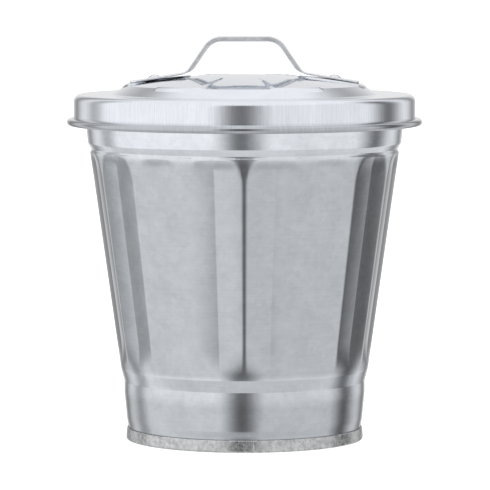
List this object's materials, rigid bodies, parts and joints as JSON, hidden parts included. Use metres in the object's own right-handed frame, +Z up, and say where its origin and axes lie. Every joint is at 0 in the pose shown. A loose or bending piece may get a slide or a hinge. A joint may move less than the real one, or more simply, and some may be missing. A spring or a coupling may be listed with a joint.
{
  "type": "lidded waste can",
  "caption": "Small tapered galvanised waste can with pressed vertical flutes, a folded foot hoop and a loose lift-off lid carrying a riveted strap handle.",
  "frame": {"origin": "middle of the foot, on the surface the can stands on", "axes": "+Z up along the can's axis; X along the handle strap; -Y is the front"},
  "size_m": [0.16, 0.16, 0.1817],
  "materials": {
    "wall_zinc": "bright hot-dip zinc on pressed sheet, faint spangle and fine scratches",
    "hoop_zinc": "dull grey zinc, slightly uneven from folding",
    "pan_zinc": "matt zinc-coated sheet",
    "lid_zinc": "bright zinc-coated pressed sheet with fine draw marks on the skirt",
    "strap_steel": "zinc-plated strip, satin",
    "rivet_steel": "zinc-plated, smooth",
    "wire_steel": "plain drawn wire"
  },
  "bodies": {
    "can": {"body_wall": "wall_zinc", "can_rim_wire": "wire_steel", "base_pan": "pan_zinc", "base_hoop": "hoop_zinc"},
    "lid": {"lid_shell": "lid_zinc", "lid_rim_wire": "wire_steel", "handle_strap": "strap_steel", "rivet_left": "rivet_steel", "rivet_right": "rivet_steel"}
  },
  "joints": [
    {"name": "lid_lift", "type": "slide", "parent": "can", "child": "lid", "axis": [0, 0, 1], "range_m": [0, 0.06]}
  ]
}
